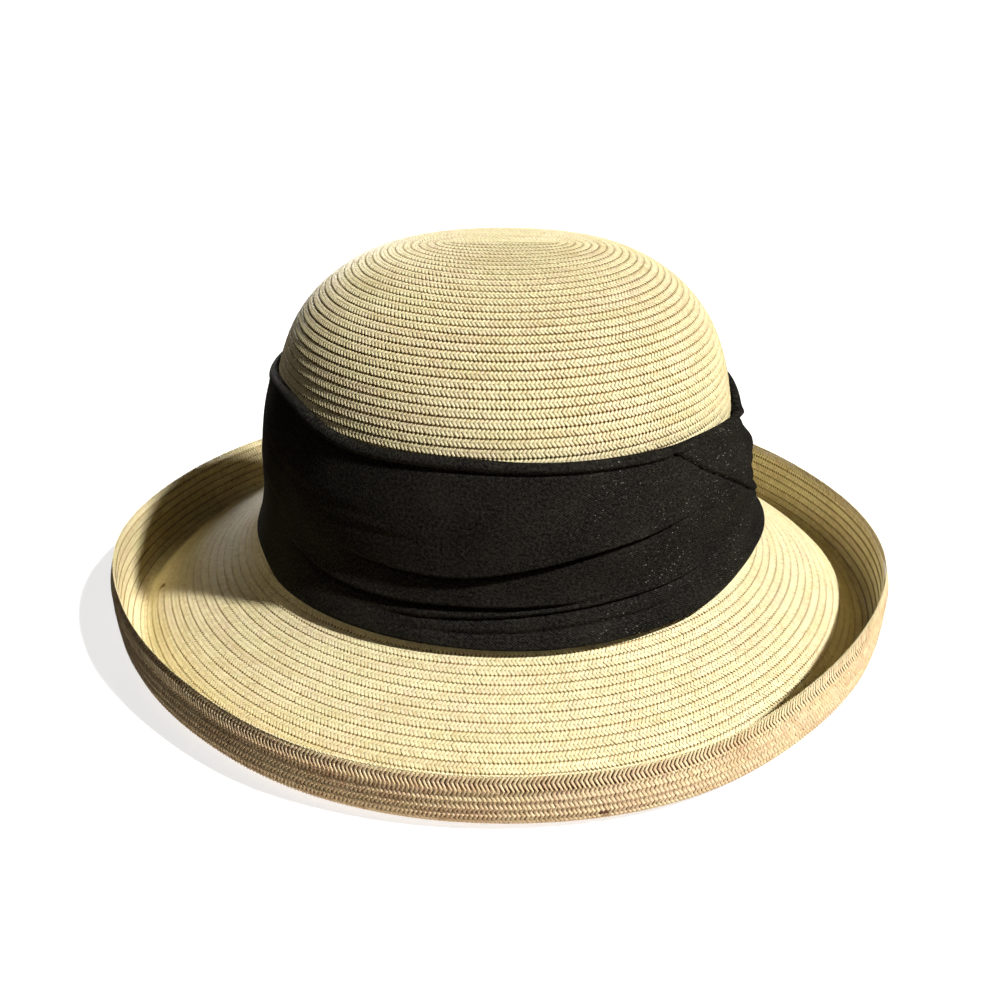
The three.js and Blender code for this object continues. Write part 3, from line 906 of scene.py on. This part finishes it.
@dataclass(frozen=True)
class Studio:
    """A pale floor, soft lights and the camera at the photograph's angle."""

    target: tuple = (0.000765, 0.000668, 0.045)
    distance: float = 0.5896
    elevation: float = 26.91
    lens: float = 49.85
    floor_size: float = 30.0
    backdrop_radius: float = 14.0
    card: str = "c6c6c6"
    glow: float = 0.75  # of the card
    sky: str = "ffd8b0"
    sky_strength: float = 0.02

    # name, where it stands, its spread in degrees, strength, colour
    LAMPS = (
        ("key", (0.573, -0.292, 0.766), 3.0, 4.65, "fffdf8"),
        ("front_fill", (-0.5, -0.82, 0.28), 40.0, 0.16, "ffffff"),
        ("back_fill", (-0.25, 0.96, 0.07), 20.0, 1.2, "fffaf2"),
        ("floor_bounce", (0.5, -0.5, -0.71), 40.0, 2.8, "ffeedd"),
    )

    def floor(self) -> None:
        """Lays the pale floor, and hangs the backdrop."""
        deselect()
        bpy.ops.mesh.primitive_plane_add(size=self.floor_size)
        floor = bpy.context.object
        floor.name = "studio_floor"
        material, _, shader = start_material("white_card")
        # A light table: it glows, so that the shadow on it stays pale as in the photograph.
        set_inputs(shader, {"Base Color": linear(self.card), "Roughness": 0.9,
                            "Emission Color": linear("ffffff"), "Emission Strength": self.glow})
        # Far behind the hat a dome of the same white closes the room.
        deselect()
        bpy.ops.mesh.primitive_uv_sphere_add(segments=48, ring_count=24, radius=self.backdrop_radius)
        dome = bpy.context.object
        dome.name = "studio_backdrop"
        for card in (floor, dome):
            card.data.materials.append(material)
            # Its glow doesn't light the hat: the lamp floor_bounce does.
            card.visible_diffuse = card.visible_glossy = card.visible_shadow = False

    def light(self, name: str, place: tuple, spread: float, power: float, colour: str) -> None:
        """Sets one large, even lamp that faces the hat; its spread in degrees softens its shadows."""
        data = bpy.data.lights.new(name, "SUN")
        data.angle = math.radians(spread)
        data.energy = power
        data.color = linear(colour)[:3]
        lamp = bpy.data.objects.new(name, data)
        bpy.context.collection.objects.link(lamp)
        self.aim(lamp, place, (0.0, 0.0, 0.0))

    @staticmethod
    def aim(thing: bpy.types.Object, place: tuple, target: tuple) -> None:
        """Puts a lamp or the camera at a place, facing a target."""
        x, y, z = (t - p for p, t in zip(place, target, strict=True))
        flat = math.hypot(x, y)
        thing.location = place
        thing.rotation_euler = (math.atan2(flat, -z), 0.0, math.atan2(-x, y) if flat > 1e-9 else 0.0)

    def camera(self) -> None:
        """Sets the camera that looks down on the front of the hat."""
        tilt = math.radians(self.elevation)
        data = bpy.data.cameras.new("camera")
        data.sensor_width = 36.0
        data.lens = self.lens
        data.clip_start = 0.01
        camera = bpy.data.objects.new("camera", data)
        bpy.context.collection.objects.link(camera)
        x, y, z = self.target
        place = (x, y - self.distance * math.cos(tilt), z + self.distance * math.sin(tilt))
        self.aim(camera, place, self.target)
        bpy.context.scene.camera = camera

    def build(self) -> None:
        """Sets up the floor, the lights, the sky and the camera."""
        self.floor()
        for lamp in self.LAMPS:
            self.light(*lamp)
        world = bpy.data.worlds.new("sky")
        world.use_nodes = True
        set_inputs(world.node_tree.nodes["Background"],
                   {"Color": linear(self.sky), "Strength": self.sky_strength})
        bpy.context.scene.world = world
        bpy.context.scene.view_settings.view_transform = "Standard"
        self.camera()


def main() -> None:
    """Builds the hat piece by piece, and the studio round it."""
    logging.basicConfig(level=logging.INFO, format="%(message)s")
    straw_finish = StrawFinish().make()
    # Painted shade: the straw of the rim's outside and edge rows is darker and pinker than the rest, as
    # warm shade.
    rim_straw_painted_shade = StrawFinish("wheat_straw_of_the_rim_painted_shade", "d2b48a", "f4e2b8", "eccab0", "e2d3a0").make()
    # Painted shade: the brown wall between the rows stands in for the shade under the laps.
    lap_painted_shade = LapPaintedShade().make()
    # Painted shade: the rim's outside gets a darker, redder brown between its rows, for its warm shade.
    rim_lap_painted_shade = LapPaintedShade("straw_behind_the_rim_painted_shade", "7c5038", "50301f").make()
    strip, ridge = Straw(flat=True), Straw(flat=False)

    StrawWall("crown_wall", "crown", "straw_braid", 160, 91).build(lap_painted_shade)
    StrawWall("brim_wall", "brim", "straw_braid", 200, 61, top_row=50.8,
              end_row=75.3).build(lap_painted_shade, rim_lap_painted_shade)

    crown = StrawCut()
    brim = StrawCut(pitch=1.53, half_width=0.69, thick=0.13, taper=0.2, lap=0.36, curve=1.4,
                    swell=0.08, start=0.06)
    upturn = replace(brim, taper=0.18, lap=0.42)
    rim = StrawCut(thick=0.25, half_width=0.66, taper=0.25, lap=1.25, curve=1.7, swell=0.1, start=0.0)
    under = StrawCut(pitch=3.3, run=2.5, half_width=1.35, thick=0.35, lap=0.4, start=0.0)
    edge = StrawCut(run=1.9, half_width=0.55, thick=0.25, taper=0.5, lap=1.5, curve=1.2, swell=0.25,
                    start=0.04, cross_low=0.5, cross_high=0.42, end=0.98)
    for rows, straw, finish in (
        (BraidRows("crown_braid", -0.88, 34.9, Face.OUTER, crown, "crown", opening=(6.0, 30.0)),
         strip, straw_finish),
        (BraidRows("brim_slope_braid", 48.7, 64.0, Face.OUTER, brim, "brim", nicks=((64.26, -0.2375),)),
         strip, straw_finish),
        (BraidRows("brim_upturn_braid", 64.0, 75.4, Face.OUTER, upturn, "brim", end_row=75.6, curl=1.5),
         strip, straw_finish),
        (BraidRows("rim_outside_braid", 66.5, 74.0, Face.INNER, rim, "brim", end_row=74.2,
                   nicks=((70.2, 0.0345),)), strip, rim_straw_painted_shade),
        (BraidRows("brim_underside_braid", 51.5, 66.5, Face.INNER, under, "brim"), ridge, straw_finish),
        (BraidRows("crown_inside_braid", -0.88, 51.5, Face.INNER, under, "crown"), ridge, straw_finish),
        (BraidRows("edge_rows", 0.0, 1.0, Face.INNER, edge, "edge_braid", slot="edge_straw",
                   top_row=74.05, end_row=75.5, spiral=False, row_rows=1.45), strip, rim_straw_painted_shade),
    ):
        rows.build(straw, finish)

    scarf = ScarfBand("scarf_cloth", "scarf_band", "black_scarf", 560, 119).build(ScarfFinish().make())
    Studio().build()


if __name__ == "__main__":
    main()
